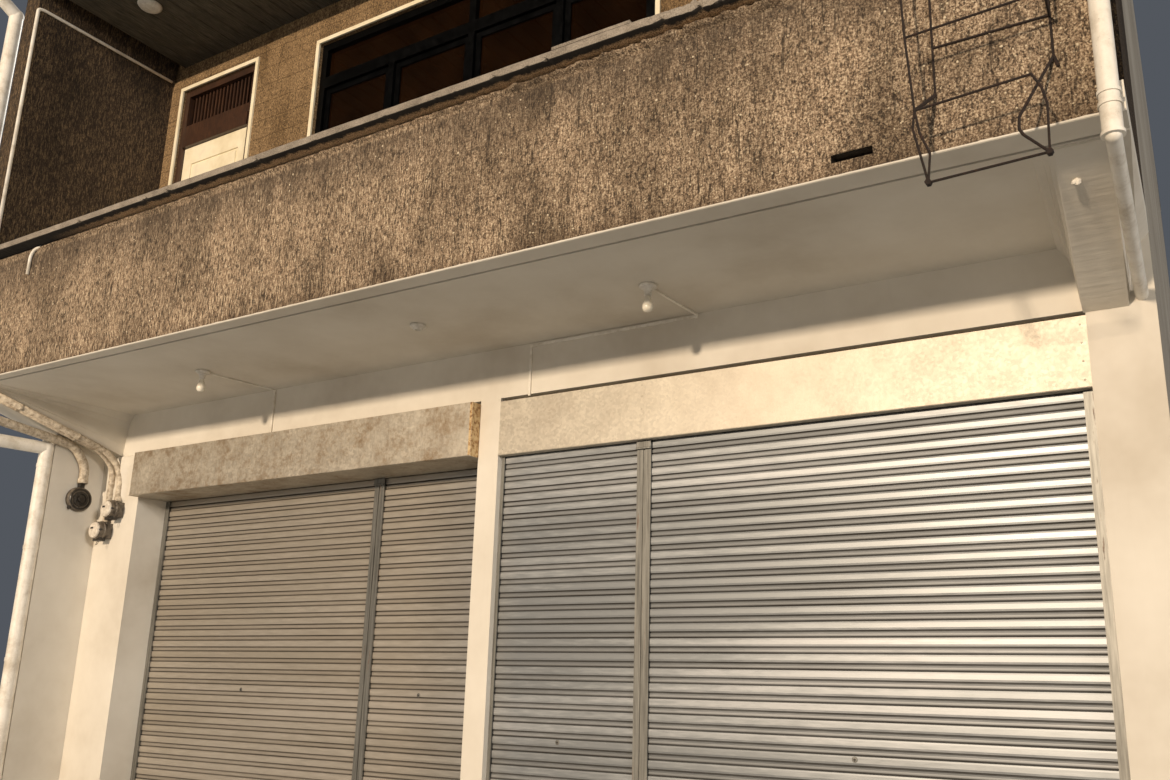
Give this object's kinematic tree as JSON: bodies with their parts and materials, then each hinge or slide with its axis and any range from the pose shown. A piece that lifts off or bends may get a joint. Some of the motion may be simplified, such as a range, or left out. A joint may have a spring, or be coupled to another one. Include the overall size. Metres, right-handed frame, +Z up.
{
  "type": "shop building with roller shutters and balcony",
  "caption": "Two-storey row shop building: shuttered shopfront under a projecting slab, balcony behind a roughcast parapet, upper storey with a door and a long window.",
  "frame": {"origin": "middle of the footprint of the whole building's box, on the street", "axes": "+Z up, +Y from the street front into the building, +X to the right along the front"},
  "size_m": [8.1, 9.06, 7.9948],
  "materials": {
    "concrete": "cement floor and grey cement render",
    "white_plaster": "white painted smooth plaster",
    "roughcast": "weathered pebble roughcast, unpainted",
    "brown_render": "brown render with score lines",
    "coping_mortar": "grey weathered mortar",
    "galvanised_sheet": "spangled zinc coat",
    "shutter_steel": "dusty zinc-coated slats",
    "guide_steel": "dull zinc-coated channel",
    "trim_paint": "cream paint",
    "brown_wood": "brown varnish",
    "dark_frame": "dark bronze coat",
    "window_glass": "tinted, clear surface",
    "eave_boards": "old pale paint",
    "roof_steel": "weathered zinc-coated sheet",
    "gutter_steel": "dull grey",
    "pipe_plastic": "white, aged",
    "holder_plastic": "white",
    "bulb_glass": "opal",
    "meter_plastic": "grey base with a clear cover",
    "rusty_steel": "rusted"
  },
  "bodies": {
    "root": {"ground_slab": "concrete", "left_party_wall": "concrete", "right_party_wall": "concrete", "left_pier": "white_plaster", "left_column": "white_plaster", "centre_post": "white_plaster", "right_column": "white_plaster", "front_lintel": "white_plaster", "left_shutter_box": "galvanised_sheet", "right_shutter_box": "galvanised_sheet", "left_wide_shutter": "shutter_steel", "left_narrow_shutter": "shutter_steel", "right_narrow_shutter": "shutter_steel", "right_wide_shutter": "shutter_steel", "shutter_guides": "guide_steel", "balcony_slab": "white_plaster", "left_bracket": "white_plaster", "right_bracket": "white_plaster", "parapet": "roughcast", "parapet_coping": "coping_mortar", "left_fin": "roughcast", "right_fin": "roughcast", "upper_floor": "concrete", "front_wall_piers": "brown_render", "front_wall_bands": "brown_render", "opening_trims": "trim_paint", "balcony_door_frame": "brown_wood", "balcony_door_leaf": "trim_paint", "window_frame": "dark_frame", "window_glass": "window_glass", "rear_wall_piers": "brown_render", "rear_wall_bands": "brown_render", "rear_door": "brown_wood", "rear_window_frames": "dark_frame", "rear_window_glass": "window_glass", "wall_plates": "brown_render", "eave_soffit": "eave_boards", "eave_fascias": "roof_steel", "gutters": "gutter_steel", "roof_sheets": "roof_steel", "ridge_cap": "roof_steel", "left_downpipe": "pipe_plastic", "right_downpipe": "pipe_plastic", "lampholders": "holder_plastic", "lamp_bulbs": "bulb_glass", "cable_mouldings": "pipe_plastic", "eave_light": "holder_plastic", "electricity_meters": "meter_plastic", "meter_conduits": "pipe_plastic", "sign_frame": "rusty_steel"}
  },
  "joints": []
}
